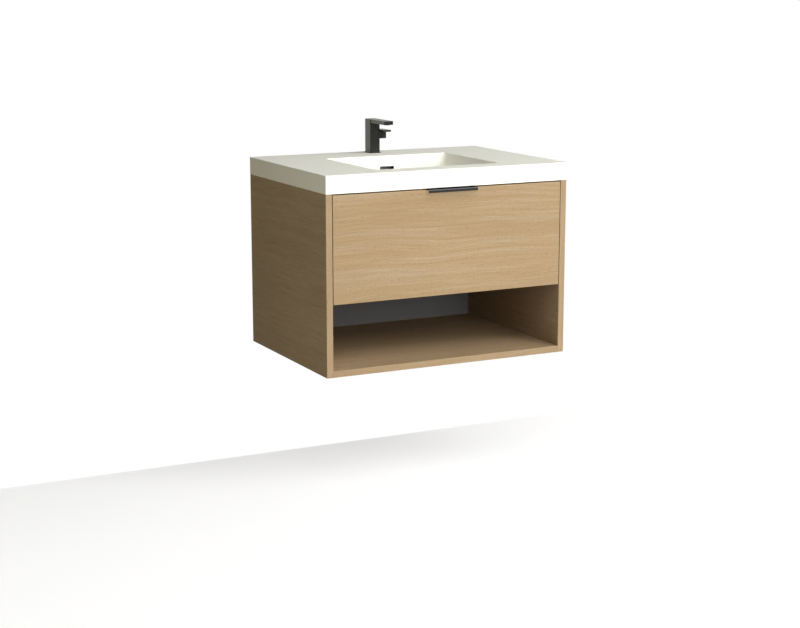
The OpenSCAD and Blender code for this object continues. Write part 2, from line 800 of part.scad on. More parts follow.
module tap_body() {
    rear = tap_y + tap_d / 2;
    way_z = tap_top - spout_t / 2;
    seat_x = tap_side - cart_len - cart_nut_t;
    color(black_metal) difference() {
        union() {
            block([-tap_w / 2, tap_front, column_z], [tap_w / 2, rear, tap_top]);
            block([-arm_w / 2, spout_y, tap_top - spout_t], [arm_w / 2, tap_front + cut, tap_top]);
        }
        // cartridge seat
        translate([seat_x, tap_y, spindle_z]) rod_x(cart_r + fit, cart_len + cart_nut_t + cut);
        // water ways: up the column, along the spout
        translate([0, tap_y, spindle_z]) cylinder(r = rise_r, h = way_z - spindle_z);
        translate([0, tap_y + way_r + cut, way_z]) rod_front(way_r, tap_y - aerator_y);
        translate([0, aerator_y, tap_top - spout_t - cut])
            cylinder(r = aerator_r + fit, h = aerator_h - aerator_out + cut);
        // sockets for the supply hoses and the fixing stud
        for (side = [-1, 1])
            translate([side * hose_x, hose_y, column_z - cut]) cylinder(r = hose_r, h = hose_deep + cut);
        translate([0, stud_y, column_z - cut]) cylinder(r = stud_r + fit, h = stud_in + cut + fit);
    }
}

module tap_aerator() {
    color(black_metal) translate([0, aerator_y, tap_top - spout_t - aerator_out]) difference() {
        cylinder(r = aerator_r, h = aerator_h);
        for (ring = [aerator_core_r + grille_pitch:grille_pitch:aerator_r - grille_pitch])
            translate([0, 0, -cut]) difference() {
                cylinder(r = ring, h = grille_deep + cut);
                cylinder(r = ring - grille_pitch / 2, h = grille_deep + cut);
            }
        translate([0, 0, -cut]) cylinder(r = aerator_core_r, h = aerator_h + 2 * cut);
    }
}

module tap_cartridge() {
    outer = tap_side - cart_nut_t;
    color(plastic) difference() {
        translate([outer - cart_len, tap_y, spindle_z]) rod_x(cart_r, cart_len);
        translate([outer - spindle_len, tap_y, spindle_z]) rod_x(spindle_r + slip, spindle_len + cut);
    }
}

module cartridge_nut() {
    color(brass) translate([tap_side - cart_nut_t, tap_y, spindle_z]) difference() {
        rod_x(cart_r, cart_nut_t);
        translate([-cut, 0, 0]) rod_x(spindle_r + slip, cart_nut_t + 2 * cut);
    }
}

// turning carrier of the cartridge; the stem tilts to the rear in its slot
module mixer_spindle() {
    inner = tap_side - cart_nut_t - spindle_len + spindle_back;
    half = stem_w / 2 + slip;
    color(plastic) difference() {
        translate([inner, tap_y, spindle_z]) rod_x(spindle_r, tap_side - inner - spindle_front);
        block([pivot_x - half, tap_y - half, spindle_z - half], [tap_side, tap_y + stem_swing, spindle_z + half]);
    }
}

module lever_stem() {
    half = stem_w / 2;
    color(steel) {
        block([pivot_x, tap_y - half, spindle_z - half], [lever_x + stem_in_lever, tap_y + half, spindle_z + half]);
        translate([pivot_x, tap_y, spindle_z - half]) cylinder(r = half, h = stem_w);
    }
}

// the lever seen from above, as far forward as `front`; its rear is cut back to clear the column
module lever_shape(front, z, height) {
    outer = lever_x + lever_len;
    rear = tap_y + lever_d / 2;
    translate([0, 0, z]) linear_extrude(height) polygon([
        [lever_x, tap_y], [lever_x, front], [outer, front], [outer, rear], [lever_x + lever_relief, rear]]);
}

module tap_lever() {
    low = spindle_z - lever_h / 2;
    half = stem_w / 2 + slip;
    color(black_metal) difference() {
        union() {
            lever_shape(lever_front, low, lever_h);
            lever_shape(tap_front - plate_reach, low + lever_h - eps, plate_t + eps);
        }
        block([lever_x - cut, tap_y - half, spindle_z - half],
              [lever_x + stem_in_lever + fit, tap_y + half, spindle_z + half]);
        translate([lever_x + stem_in_lever / 2, tap_y, low - cut]) cylinder(r = grub_r + slip, h = lever_h / 2);
    }
}

module lever_screw() {
    low = spindle_z - lever_h / 2 + grub_in;
    top = spindle_z - stem_w / 2;
    color(steel) translate([lever_x + stem_in_lever / 2, tap_y, low]) difference() {
        cylinder(r = grub_r, h = top - low);
        translate([0, 0, -cut]) cylinder(r = grub_key_r, h = grub_r + cut, $fn = 6);
    }
}

module tap_stud() {
    length = stud_out + column_z - deck_z + stud_in;
    color(steel) translate([0, stud_y, deck_z - stud_out]) cylinder(r = stud_r, h = length);
}

// a horseshoe under the deck, open to the front for the hoses
module horseshoe(z, height) {
    half = hose_x + hose_r + shoe_play;
    translate([0, 0, z]) difference() {
        translate([0, tap_y, 0]) cylinder(r = washer_r, h = height);
        block([-half, tap_y - washer_r - cut, -cut], [half, hose_y + hose_r + shoe_play, height + cut]);
        translate([0, stud_y, -cut]) cylinder(r = stud_r + fit, h = height + 2 * cut);
    }
}

module tap_rubber_washer() {
    color(rubber) horseshoe(deck_z - deck_t - rubber_washer_t, rubber_washer_t);
}

module tap_steel_washer() {
    color(steel) horseshoe(deck_z - deck_t - rubber_washer_t - steel_washer_t, steel_washer_t);
}

module tap_nut() {
    z = deck_z - deck_t - rubber_washer_t - steel_washer_t - tap_nut_t;
    color(brass) translate([0, stud_y, z]) difference() {
        cylinder(r = tap_nut_r, h = tap_nut_t, $fn = 6);
        translate([0, 0, -cut]) cylinder(r = stud_r + slip, h = tap_nut_t + 2 * cut);
    }
}

// ---------- drawer ----------

module drawer_front() {
    color(oak) difference() {
        block([-front_half, -cab_d, front_z0], [front_half, front_back_y, front_z1]);
        for (x = front_screw_xs) for (z = front_screw_zs)
            translate([x, front_back_y + eps, z]) rod_front(screw_r + fit, screw_len);
        for (x = pull_screw_xs)
            translate([x, front_back_y + eps, pull_screw_z]) rod_front(screw_r + fit, screw_len);
    }
}

// bent sheet: rear flange, plate over the front's top edge, lip turned down
module edge_pull() {
    y_out = -cab_d - pull_out;
    y_in = front_back_y + pull_t;
    top = front_z1 + pull_t;
    color(black_metal) difference() {
        along_x(pull_len) polygon([
            [y_in, pull_flange_z], [y_in, top], [y_out, top], [y_out, top - pull_lip],
            [y_out + pull_t, top - pull_lip], [y_out + pull_t, front_z1], [front_back_y, front_z1],
            [front_back_y, pull_flange_z]]);
        for (x = pull_screw_xs)
            translate([x, y_in + cut, pull_screw_z]) rod_front(screw_r + fit, pull_t + 2 * cut);
    }
}

module drawer_box_front() {
    color(birch) difference() {
        block([box_t - box_half, front_back_y, wall_z0], [box_half - box_t, front_back_y + box_t, box_z1]);
        for (x = front_screw_xs) for (z = front_screw_zs)
            translate([x, front_back_y + box_t + cut, z]) rod_front(screw_r + fit, box_t + 2 * cut);
    }
}

module drawer_side() {
    color(birch) difference() {
        block([box_half - box_t, front_back_y, wall_z0], [box_half, box_rear_y, box_z1]);
        for (y = slide_screw_ys)
            translate([box_half + eps, y, slide_z]) mirror([1, 0, 0])
                rod_x(screw_r + fit, box_screw_in + fit);
    }
}

module drawer_back() {
    color(birch) block([notch_half + box_t, box_rear_y - box_t, wall_z0],
                       [box_half - box_t, box_rear_y, box_z1]);
}

module notch_wall() {
    color(birch) block([notch_half, notch_y - box_t, wall_z0], [notch_half + box_t, box_rear_y, box_z1]);
}

module notch_wall_front() {
    color(birch) block([-notch_half, notch_y - box_t, wall_z0], [notch_half, notch_y, box_z1]);
}

module drawer_bottom() {
    color(birch) difference() {
        block([-box_half, front_back_y, box_z0], [box_half, box_rear_y, wall_z0]);
        block([-notch_half, notch_y, box_z0 - cut], [notch_half, box_rear_y + cut, wall_z0 + cut]);
    }
}

module drawer_screws() {
    color(steel) {
        for (x = front_screw_xs) for (z = front_screw_zs)
            translate([x, front_back_y + box_t, z]) rotate([0, 0, -90]) wood_screw(box_t + screw_grip);
        for (x = pull_screw_xs)
            translate([x, front_back_y + pull_t, pull_screw_z]) rotate([0, 0, -90]) wood_screw();
        both_sides() for (y = slide_screw_ys)
            translate([box_half + steel_t, y, slide_z]) mirror([1, 0, 0]) wood_screw(steel_t + box_screw_in);
    }
}

// ---------- drawer slides ----------

// a channel along Y on the right-hand side: web at x0..x0+steel_t from the panel,
// lips reaching to x1, all measured inwards from the side panel
module channel(half, web, lip, y1, length) {
    lips = [min(web, lip), max(web + steel_t, lip)];
    translate([in_w / 2, y1, slide_z]) mirror([1, 0, 0]) {
        translate([web, 0, -half]) cube([steel_t, length, 2 * half]);
        for (z = [-half, half - steel_t])
            translate([lips[0], 0, z]) cube([lips[1] - lips[0], length, steel_t]);
    }
}

// screw holes through a member's web
module slide_holes(web) {
    for (y = slide_screw_ys)
        translate([in_w / 2 - web - steel_t - cut, y, slide_z]) rod_x(screw_r + fit, steel_t + 2 * cut);
}

module slide_outer() {
    color(steel) difference() {
        channel(outer_half, 0, outer_lip, slide_y1, slide_len);
        slide_holes(0);
        // dimples that sink the screw heads below the balls' cage
        for (y = slide_screw_ys)
            translate([in_w / 2 - steel_t - cut, y, slide_z]) rod_x(head_r + fit, head_t + cut);
    }
}

module slide_middle() {
    color(steel) channel(mid_half, mid_x0, mid_lip, slide_y1 + mid_in, slide_len - mid_short);
}

module slide_inner() {
    color(steel) difference() {
        channel(inner_half, slide_w - steel_t, inner_x0, slide_y1 + inner_in, slide_len - inner_short);
        slide_holes(slide_w - steel_t);
    }
}

// a thin cage with two rows of balls; row is the balls' height, x0..x1 its reach
module ball_cage(row, x0, x1) {
    pitch = cage_len / ball_count;
    ball_x = (x0 + x1) / 2;
    ball_ys = [for (i = [0:ball_count - 1]) pitch / 2 + i * pitch];
    translate([in_w / 2, cage_y1, slide_z]) mirror([1, 0, 0]) {
        color(plastic) difference() {
            union() {
                translate([x0, 0, -row - cage_t / 2]) cube([cage_t, cage_len, 2 * row + cage_t]);
                for (side = [-1, 1])
                    translate([x0, 0, side * row - cage_t / 2]) cube([x1 - x0, cage_len, cage_t]);
            }
            for (side = [-1, 1]) for (y = ball_ys)
                translate([ball_x, y, side * row - cage_t]) cylinder(r = ball_r + fit, h = 2 * cage_t);
        }
        color(steel) for (side = [-1, 1]) for (y = ball_ys)
            translate([ball_x, y, side * row]) sphere(r = ball_r, $fn = 24);
    }
}

module outer_ball_cages() {
    both_sides() ball_cage(mid_half + race / 2, steel_t + seat_gap, outer_cage_lip);
}

module inner_ball_cages() {
    both_sides() ball_cage(inner_half + race / 2, mid_x0 + steel_t + seat_gap, inner_cage_lip);
}

mirror([1, 0, 0]) side_panel();  // side_left
side_panel();  // side_right
bottom_panel();
divider_panel();
back_panel();
hanging_rail();
lower_rail();
front_rail();
dowels();
cam_bolts();
cam_locks();
corner_blocks();
bumpers();
cabinet_cleat();
wall_cleat();
carcass_screws();
basin_top();
overflow_sleeve();
overflow_duct();
waste_body();
waste_gasket();
waste_washer();
waste_nut();
tailpiece();
waste_plug();
tap_gasket();
tap_base_plate();
tap_body();
tap_aerator();
tap_cartridge();
cartridge_nut();
tap_stud();
tap_rubber_washer();
tap_steel_washer();
tap_nut();
mixer_spindle();
lever_stem();
tap_lever();
lever_screw();
mirror([1, 0, 0]) slide_outer();  // slide_outer_left
slide_outer();  // slide_outer_right
mirror([1, 0, 0]) slide_middle();  // slide_middle_left
slide_middle();  // slide_middle_right
mirror([1, 0, 0]) slide_inner();  // slide_inner_left
slide_inner();  // slide_inner_right
outer_ball_cages();
inner_ball_cages();
drawer_front();
edge_pull();
drawer_box_front();
mirror([1, 0, 0]) drawer_side();  // drawer_side_left
drawer_side();  // drawer_side_right
mirror([1, 0, 0]) drawer_back();  // drawer_back_left
drawer_back();  // drawer_back_right
mirror([1, 0, 0]) notch_wall();  // notch_wall_left
notch_wall();  // notch_wall_right
notch_wall_front();
drawer_bottom();
drawer_screws();
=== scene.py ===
import json
import math
import bmesh
import bpy
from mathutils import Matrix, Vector

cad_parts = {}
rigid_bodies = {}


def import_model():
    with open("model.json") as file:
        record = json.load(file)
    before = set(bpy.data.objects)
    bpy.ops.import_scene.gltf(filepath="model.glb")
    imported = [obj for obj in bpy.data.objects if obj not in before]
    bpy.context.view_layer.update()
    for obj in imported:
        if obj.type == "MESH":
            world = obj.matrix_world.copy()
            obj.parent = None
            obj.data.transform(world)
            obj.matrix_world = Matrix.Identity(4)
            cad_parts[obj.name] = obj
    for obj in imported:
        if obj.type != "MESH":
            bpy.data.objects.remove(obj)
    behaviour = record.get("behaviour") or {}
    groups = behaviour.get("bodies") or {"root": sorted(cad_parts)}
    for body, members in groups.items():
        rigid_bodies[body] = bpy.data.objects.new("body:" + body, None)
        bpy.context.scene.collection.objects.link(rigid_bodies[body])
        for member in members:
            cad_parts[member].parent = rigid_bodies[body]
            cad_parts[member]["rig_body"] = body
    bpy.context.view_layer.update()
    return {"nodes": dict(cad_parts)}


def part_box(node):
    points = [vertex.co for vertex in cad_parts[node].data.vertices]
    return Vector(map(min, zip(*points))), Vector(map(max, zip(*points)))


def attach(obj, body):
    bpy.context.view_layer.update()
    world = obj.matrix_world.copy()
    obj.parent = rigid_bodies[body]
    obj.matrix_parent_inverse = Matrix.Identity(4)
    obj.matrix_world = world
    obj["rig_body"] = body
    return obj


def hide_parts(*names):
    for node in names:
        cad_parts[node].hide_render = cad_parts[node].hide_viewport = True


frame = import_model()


# ---------- camera ----------
# A long lens to the left of the cabinet, a little above its top and looking slightly down.
# Its place was fitted to forty corners of the cabinet in the photograph.
degrees_down, degrees_right = 11.384, 26.813
camera_data = bpy.data.cameras.new("camera")
camera_data.sensor_width = 36
camera_data.lens = 73.85
camera = bpy.data.objects.new("camera", camera_data)
camera.location = (-2.1726, -4.5315, 1.0604)
camera.rotation_euler = (math.radians(90 - degrees_down), 0, math.radians(-degrees_right))
bpy.context.scene.collection.objects.link(camera)
bpy.context.scene.camera = camera


# ---------- studio floor and light ----------
# Plain white painted studio floor that ends on the line of the cabinet's back, as in the photograph.
# Big soft boxes stand in front, above and to the right, a weak one behind and a weak warm one to the
# left.


def linear(code):
    """The linear colour of an sRGB hex code."""
    parts = [int(code[i:i + 2], 16) / 255 for i in (1, 3, 5)]
    return tuple(p / 12.92 if p <= 0.04045 else ((p + 0.055) / 1.055) ** 2.4 for p in parts) + (1.0,)


def add(tree, kind, sockets=(), **settings):
    """Adds a shader node with its settings. A socket given another node's output is linked to it."""
    made = tree.nodes.new("ShaderNode" + kind)
    for name, value in settings.items():
        setattr(made, name, value)
    for name, value in dict(sockets).items():
        if isinstance(value, bpy.types.NodeSocket):
            tree.links.new(value, made.inputs[name])
        else:
            made.inputs[name].default_value = value
    return made


def finish(name, code, roughness, ior=1.5, metallic=0.0, level=0.5):
    """A material with its plain values on the shader; the pattern is linked afterwards."""
    made = bpy.data.materials.new(name)
    made.use_nodes = True
    shader = made.node_tree.nodes["Principled BSDF"]
    shader.inputs["Base Color"].default_value = linear(code)
    shader.inputs["Roughness"].default_value = roughness
    shader.inputs["IOR"].default_value = ior
    shader.inputs["Metallic"].default_value = metallic
    shader.inputs["Specular IOR Level"].default_value = level
    return made, made.node_tree, shader


def softbox(name, place, width, height, radiance, aim=(0, -0.3, 0.3), code="#FFFFFF"):
    """An area light that lights surfaces but isn't mirrored in them."""
    lamp = bpy.data.lights.new(name, "AREA")
    lamp.shape = "RECTANGLE"
    lamp.size = width
    lamp.size_y = height
    lamp.energy = radiance * math.pi * width * height
    lamp.color = linear(code)[:3]
    box = bpy.data.objects.new(name, lamp)
    box.location = place
    box.rotation_euler = (Vector(aim) - Vector(place)).to_track_quat("-Z", "Y").to_euler()
    box.visible_camera = False
    box.visible_glossy = False
    bpy.context.scene.collection.objects.link(box)


floor_z, floor_reach = -0.356, 4.5
floor_mesh = bpy.data.meshes.new("studio_floor")
floor_mesh.from_pydata([(-floor_reach, -floor_reach, floor_z), (floor_reach, -floor_reach, floor_z),
                        (floor_reach, 0, floor_z), (-floor_reach, 0, floor_z)], [], [(0, 1, 2, 3)])
studio_floor = bpy.data.objects.new("studio_floor", floor_mesh)
bpy.context.scene.collection.objects.link(studio_floor)

# roller marks in the paint, about 3 mm apart; a little light of its own keeps the floor white
floor_paint, tree, shader = finish("floor_matt_white_paint", "#C8C8C8", 1.0)
shader.inputs["Emission Color"].default_value = linear("#FFFFFF")
shader.inputs["Emission Strength"].default_value = 0.42
place = add(tree, "TexCoord").outputs["Object"]
marks = add(tree, "TexNoise", {"Vector": place, "Scale": 300.0, "Detail": 2.0})
relief = add(tree, "Bump", {"Height": marks.outputs[0], "Distance": 0.0003})
tree.links.new(relief.outputs[0], shader.inputs["Normal"])
floor_mesh.materials.append(floor_paint)
# what a floor throws back at the cabinet comes from the box named floor_bounce instead
studio_floor.visible_diffuse = False
studio_floor.visible_glossy = False

softbox("front_box", (0, -5.0, 1.8), 3.0, 1.6, 6.1)
softbox("low_front_box", (0, -5.0, 0.35), 3.0, 1.3, 2.3)
softbox("high_right_box", (3.0, -5.0, 3.6), 3.0, 2.0, 9.2)
softbox("high_left_box", (-3.0, -5.0, 3.6), 3.0, 2.0, 2.4)
softbox("overhead_box", (0.3, -3.6, 4.4), 5.0, 2.0, 3.9)
softbox("right_box", (5.0, -2.0, 0.9), 4.0, 3.0, 7.8)
softbox("left_box", (-4.5, -0.2, 0.7), 2.0, 3.0, 1.75, code="#FFF2C2")
softbox("rear_box", (1.2, 4.5, 0.7), 4.0, 3.0, 2.4)
softbox("floor_bounce", (0, -2.0, -0.34), 4.0, 3.0, 0.9, aim=(0, -2.0, 1.0))

# the room as shiny pieces mirror it, dim in front and bright behind; it lights no matt surface, and
# the backdrop that shows is plain white paper
dim, bright = 0.2, 0.95
world = bpy.data.worlds.new("studio")
world.use_nodes = True
bpy.context.scene.world = world
world.cycles_visibility.diffuse = False
tree = world.node_tree
tree.nodes.clear()
toward = add(tree, "SeparateXYZ", {0: add(tree, "TexCoord").outputs["Generated"]})
rear = add(tree, "MapRange", {0: toward.outputs[1], 1: -0.4, 2: 0.5, 3: dim, 4: bright})
room = add(tree, "Background", {"Strength": rear.outputs[0]})
room.inputs[0].default_value = linear("#FFFFF4")
paper = add(tree, "Background", {"Strength": 1.0})
paper.inputs[0].default_value = linear("#FFFFFF")
shows = add(tree, "LightPath").outputs["Is Camera Ray"]
seen = add(tree, "MixShader", {0: shows, 1: room.outputs[0], 2: paper.outputs[0]})
add(tree, "OutputWorld", {0: seen.outputs[0]})
bpy.context.scene.view_settings.view_transform = "Standard"


# ---------- cabinet boards ----------
# Ply boards 18.8 mm thick, faced with sliced white oak and edged with oak strip 0.8 mm thick, sanded
# and finished with matt lacquer. Their rear edges, the edges under the top and the ends of the inner
# boards are left bare.
solids = frame["nodes"]
weld, on_line = 2e-6, 1e-5      # metres within which two corners are one, or a corner is on a line
shortest_arris = 0.003          # shorter edges stay as they are
flat_turn, arris_turn, smooth_turn = math.radians(0.5), math.radians(30), math.radians(35)


def eased(node, width, segments=2, only=None, folds=()):
    """A copy of a CAD solid whose outer arrises are eased, on the same body and in the same place.
    `folds` gives the y, z and radius of bends that run along X."""
    solid = solids[node]
    mesh = bpy.data.meshes.new(node + "_eased")
    shape = bmesh.new()
    shape.from_mesh(solid.data)
    bmesh.ops.remove_doubles(shape, verts=shape.verts, dist=weld)
    bmesh.ops.dissolve_limit(shape, angle_limit=flat_turn, verts=shape.verts, edges=shape.edges)
    for y, z, radius in folds:
        fold = [e for e in shape.edges
                if all(abs(v.co.y - y) < on_line and abs(v.co.z - z) < on_line for v in e.verts)]
        bmesh.ops.bevel(shape, geom=fold, offset=radius, segments=6, profile=0.5, affect="EDGES")
    sharp = [e for e in shape.edges if len(e.link_faces) == 2 and e.calc_length() > shortest_arris
             and e.calc_face_angle_signed() > arris_turn and (only is None or only(e))]
    bmesh.ops.bevel(shape, geom=sharp, offset=width, segments=segments, profile=0.5, affect="EDGES",
                    clamp_overlap=True)
    shape.to_mesh(mesh)
    shape.free()
    piece = bpy.data.objects.new(node + "_piece", mesh)
    bpy.context.scene.collection.objects.link(piece)
    for face in mesh.polygons:
        face.use_smooth = True
    mesh.set_sharp_from_angle(angle=smooth_turn)
    piece.modifiers.new("flat_faces_stay_flat", "WEIGHTED_NORMAL").keep_sharp = True
    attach(piece, solid["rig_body"])
    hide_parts(node)
    return piece


def board(node, grain, face, edge, core, raw=(), arris=0.0006):
    """A board with eased arrises. `grain` is the axis that the face veneer runs along, and `raw` names
    the sides left bare. UV map "sheet" lays the veneer in metres, along and across the grain, and each
    face takes another part of the sheet."""
    low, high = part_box(node)
    size = high - low
    thick = min(range(3), key=lambda a: size[a])
    across = 3 - grain - thick

    def on_outline(e):
        return sum(all(min(abs(v.co[a] - low[a]), abs(v.co[a] - high[a])) < on_line for v in e.verts)
                   for a in range(3)) > 1

    piece = eased(node, arris, only=on_outline)
    mesh = piece.data
    for made in (face, edge, core):
        mesh.materials.append(made)
    sheet = mesh.uv_layers.new(name="sheet").data
    number = sorted(solids).index(node)
    for polygon in mesh.polygons:
        n = polygon.normal
        facing = max(range(3), key=lambda a: abs(n[a]))
        if abs(n[facing]) < 0.98:
            # an eased arris takes the finish of the edge beside it
            facing = max((a for a in range(3) if a != thick), key=lambda a: abs(n[a]))
        bound = high[facing] if n[facing] > 0 else low[facing]
        inside = abs(polygon.center[facing] - bound) > 2 * arris
        side = ("+" if n[facing] > 0 else "-") + "xyz"[facing]
        bare = inside or side in raw
        polygon.material_index = 2 if bare else 0 if facing == thick else 1
        run = across if facing == grain else grain
        over = across if facing == thick and not bare else thick
        if bare:
            shift = (0, -low[thick])
        else:
            shift = (0.83 * number + 0.41 * facing,
                     0.57 * number + 0.29 * facing + 0.13 * (n[facing] > 0))
        for corner in polygon.loop_indices:
            at = mesh.vertices[mesh.loops[corner].vertex_index].co
            sheet[corner].uv = (at[run] + shift[0], at[over] + shift[1])
    return piece


def oak(name, light, dark, figure=0.0):
    """White oak veneer, sliced, sanded and lacquered matt: warm straw, faint wavy rings about 14 mm
    apart, fine streaks 3 mm wide and open pores. `figure` is how far the late wood turns golden."""
    late_wood, open_pore = linear("#967C55"), linear("#6B5334")
    made, tree, shader = finish(name, light, 0.55, 1.45, level=0.04)
    sheet = add(tree, "UVMap", uv_map="sheet").outputs[0]

    def grain(place, along, across, detail, rough=0.5):
        """Noise drawn out along the grain; `along` and `across` are its patches to the metre."""
        stretched = add(tree, "VectorMath", {0: place, 1: (along, across, 1)}, operation="MULTIPLY")
        return add(tree, "TexNoise", {"Vector": stretched.outputs[0], "Scale": 1.0, "Detail": detail,
                                      "Roughness": rough}).outputs[0]

    # the stem's own bends: up to 15 mm across over about 400 mm along the grain
    swing = add(tree, "MapRange", {0: grain(sheet, 2.4, 6.0, 1.2), 1: 0.0, 2: 1.0, 3: -0.025, 4: 0.025})
    sideways = add(tree, "CombineXYZ", {1: swing.outputs[0]})
    bent = add(tree, "VectorMath", {0: sheet, 1: sideways.outputs[0]}).outputs[0]
    # rings 14 mm by 600 mm, streaks 3 mm by 110 mm, pores 1 mm by 12 mm (twice as wide as real ones, so
    # that they show), and a drift of tone over patches 110 mm by 500 mm
    rings = grain(bent, 1.6, 70.0, 2.0)
    streaks = grain(bent, 9.0, 300.0, 4.0, 0.7)
    pores = grain(bent, 80.0, 1000.0, 1.0)
    drift = add(tree, "Math", {0: grain(sheet, 2.0, 9.0, 1.0), 1: 0.4}, operation="MULTIPLY").outputs[0]
    depth = add(tree, "Math", {0: rings, 1: 0.5, 2: drift}, operation="MULTIPLY_ADD")
    depth = add(tree, "Math", {0: streaks, 1: 1.3, 2: depth.outputs[0]}, operation="MULTIPLY_ADD")
    tone = add(tree, "MapRange", {0: depth.outputs[0], 1: 0.6, 2: 1.6, 3: 0.0, 4: 1.0})
    late = add(tree, "MapRange", {0: rings, 1: 0.35, 2: 0.65, 3: 0.0, 4: figure})
    pore = add(tree, "MapRange", {0: pores, 1: 0.58, 2: 0.70, 3: 0.0, 4: 0.4})
    body = add(tree, "Mix", {0: tone.outputs[0], 6: linear(light), 7: linear(dark)}, data_type="RGBA")
    ringed = add(tree, "Mix", {0: late.outputs[0], 6: body.outputs[2], 7: late_wood}, data_type="RGBA")
    pored = add(tree, "Mix", {0: pore.outputs[0], 6: ringed.outputs[2], 7: open_pore}, data_type="RGBA")
    tree.links.new(pored.outputs[2], shader.inputs["Base Color"])
    furrows = add(tree, "Math", {0: streaks, 1: pore.outputs[0]}, operation="SUBTRACT")
    relief = add(tree, "Bump", {"Height": furrows.outputs[0], "Distance": 0.0001, "Strength": 0.5})
    tree.links.new(relief.outputs[0], shader.inputs["Normal"])
    sheen = add(tree, "MapRange", {0: streaks, 1: 0.3, 2: 0.7, 3: 0.50, 4: 0.62})
    tree.links.new(sheen.outputs[0], shader.inputs["Roughness"])
    return made


def ply(name, light, dark):
    """The sawn edge of birch ply: plies 1.4 mm thick, pale along the grain and darker across it,
    where the ends of the fibres show as specks 1.4 mm by 0.7 mm."""
    made, tree, shader = finish(name, light, 0.7)
    sheet = add(tree, "UVMap", uv_map="sheet").outputs[0]
    through = add(tree, "SeparateXYZ", {0: sheet}).outputs[1]
    layer = add(tree, "Math", {0: through, 1: 0.0014}, operation="DIVIDE")
    fold = add(tree, "Math", {0: layer.outputs[0], 1: 1.0}, operation="PINGPONG")
    crossed = add(tree, "MapRange", {0: fold.outputs[0], 1: 0.42, 2: 0.58})
    fine = add(tree, "VectorMath", {0: sheet, 1: (700, 1400, 1)}, operation="MULTIPLY")
    end_grain = add(tree, "TexNoise", {"Vector": fine.outputs[0], "Scale": 1.0, "Detail": 2.0})
    speck = add(tree, "Math", {0: crossed.outputs[0], 1: end_grain.outputs[0]}, operation="MULTIPLY")
    tint = add(tree, "Mix", {0: speck.outputs[0], 6: linear(light), 7: linear(dark)}, data_type="RGBA")
    tree.links.new(tint.outputs[2], shader.inputs["Base Color"])
    relief = add(tree, "Bump", {"Height": speck.outputs[0], "Distance": 0.0002})
    tree.links.new(relief.outputs[0], shader.inputs["Normal"])
    return made


oak_veneer = oak("white_oak_veneer_lacquered", "#A79275", "#866F52")
oak_strip = oak("white_oak_edge_strip_lacquered", "#A59073", "#887155")
ply_core = ply("birch_ply_sawn_edge", "#C9B48E", "#8A6C48")

for name in ("side_left", "side_right"):
    board(name, 1, oak_veneer, oak_strip, ply_core, raw=("+y", "+z"))
for name in ("bottom_panel", "divider_panel"):
    board(name, 0, oak_veneer, oak_strip, ply_core, raw=("+y", "+x", "-x"))


# ---------- drawer front ----------
# One board with a more figured leaf of the same oak, its grain running across, edged on all four
# sides. It is screwed to the drawer box from behind.
front_veneer = oak("white_oak_figured_veneer_lacquered", "#A99579", "#887256", 0.45)
board("drawer_front", 0, front_veneer, oak_strip, ply_core)


# ---------- rails and drawer box ----------
# Birch ply, rotary cut and clear lacquered, glued and screwed. The plies show in every sawn edge.
# The blocks that the top is bedded on and the boards' dowels are solid birch, only sanded.


def birch(name, light, dark, uv):
    """Rotary cut birch: cream, broad flame figure some 30 mm wide, faint fibres 1 mm wide. With `uv` it
    follows the sheet that the board is cut from."""
    made, tree, shader = finish(name, light, 0.5)
    place = add(tree, "TexCoord").outputs["Object"]
    if uv:
        place = add(tree, "UVMap", uv_map="sheet").outputs[0]
    broad = add(tree, "VectorMath", {0: place, 1: (4, 32, 9)}, operation="MULTIPLY")
    flame = add(tree, "TexNoise", {"Vector": broad.outputs[0], "Scale": 1.0, "Detail": 3.0,
                                   "Distortion": 1.2})
    narrow = add(tree, "VectorMath", {0: place, 1: (30, 900, 300)}, operation="MULTIPLY")
    fibre = add(tree, "TexNoise", {"Vector": narrow.outputs[0], "Scale": 1.0, "Detail": 2.0})
    depth = add(tree, "Math", {0: flame.outputs[0], 1: fibre.outputs[0]})
    tone = add(tree, "MapRange", {0: depth.outputs[0], 1: 0.7, 2: 1.3})
    tint = add(tree, "Mix", {0: tone.outputs[0], 6: linear(light), 7: linear(dark)}, data_type="RGBA")
    tree.links.new(tint.outputs[2], shader.inputs["Base Color"])
    relief = add(tree, "Bump", {"Height": fibre.outputs[0], "Distance": 0.0001})
    tree.links.new(relief.outputs[0], shader.inputs["Normal"])
    return made


def dress(made, *names):
    """Gives CAD solids their finish."""
    for name in names:
        mesh = solids[name].data
        if not mesh.materials:
            mesh.materials.append(made)
        for place in solids[name].material_slots:
            place.material = made


def sawn_sides(node):
    """Every side of a ply board but its two faces."""
    low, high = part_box(node)
    thick = min(range(3), key=lambda a: (high - low)[a])
    return tuple(sign + axis for sign in "+-" for axis in "xyz" if axis != "xyz"[thick])


birch_face = birch("birch_ply_face_lacquered", "#D9C6A2", "#BFA57B", uv=True)
birch_block = birch("birch_block_sanded", "#D3BE98", "#B99E74", uv=False)

for name, grain in (("hanging_rail", 0), ("lower_rail", 0), ("front_rail", 0), ("drawer_box_front", 0),
                    ("drawer_side_left", 1), ("drawer_side_right", 1), ("drawer_back_left", 0),
                    ("drawer_back_right", 0), ("notch_wall_left", 1), ("notch_wall_right", 1),
                    ("notch_wall_front", 0), ("drawer_bottom", 0)):
    board(name, grain, birch_face, ply_core, ply_core, raw=sawn_sides(name), arris=0.0004)
dress(birch_block, "corner_blocks", "dowels")


